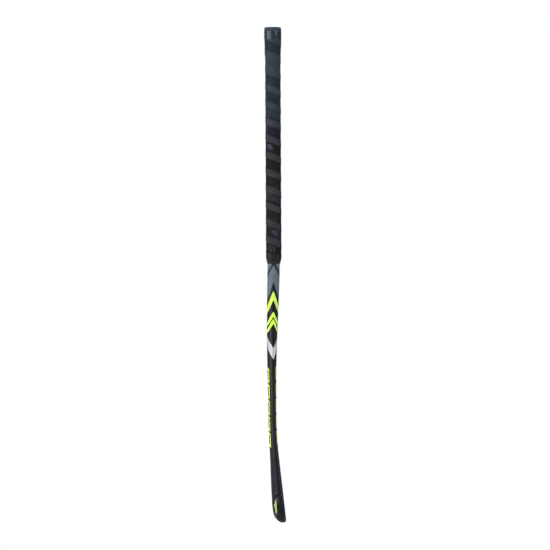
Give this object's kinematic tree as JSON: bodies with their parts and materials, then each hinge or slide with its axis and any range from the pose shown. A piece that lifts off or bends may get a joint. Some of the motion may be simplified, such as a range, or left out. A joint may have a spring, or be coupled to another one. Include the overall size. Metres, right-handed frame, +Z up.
{
  "type": "field hockey stick",
  "caption": "Field hockey stick with a flat-faced hooked head, a bowed D-section shaft and a spirally taped round handle with a flared butt.",
  "frame": {"origin": "centre of the butt end, on the handle's axis", "axes": "+Z up out of the butt along the handle, +X out of the flat playing face, toe towards -Y"},
  "size_m": [0.038, 0.1115, 0.9521],
  "materials": {
    "laminate": "satin lacquered carbon laminate",
    "inner_laminate": "raw cured laminate",
    "aramid": "woven aramid in resin",
    "foam": "rigid foam",
    "damper_rubber": "matt",
    "cap_polymer": "satin",
    "underlay_foam": "matt foam",
    "grip_tape": "matt polyurethane tape, fine grain",
    "gloss_tape": "glossy",
    "end_band": "satin",
    "grey_film": "satin film",
    "lime_film": "satin film",
    "silver_film": "metallic satin film",
    "pale_film": "satin film"
  },
  "bodies": {
    "root": {"outer_laminate": "laminate", "heel_side_tube": "inner_laminate", "toe_side_tube": "inner_laminate", "head_ply": "aramid", "head_foam_core": "foam", "handle_foam_plug": "foam", "handle_damper": "damper_rubber", "butt_cap": "cap_polymer", "grip_underlay": "underlay_foam", "grip_tape": "grip_tape", "top_tape": "gloss_tape", "lower_end_band": "end_band", "grey_chevron": "grey_film", "grey_wings": "grey_film", "upper_lime_chevron": "lime_film", "middle_lime_chevron": "lime_film", "lower_lime_chevron": "lime_film", "silver_chevron": "silver_film", "back_bars": "lime_film", "face_strips": "lime_film", "toe_flash": "lime_film", "toe_patch": "pale_film"}
  },
  "joints": []
}
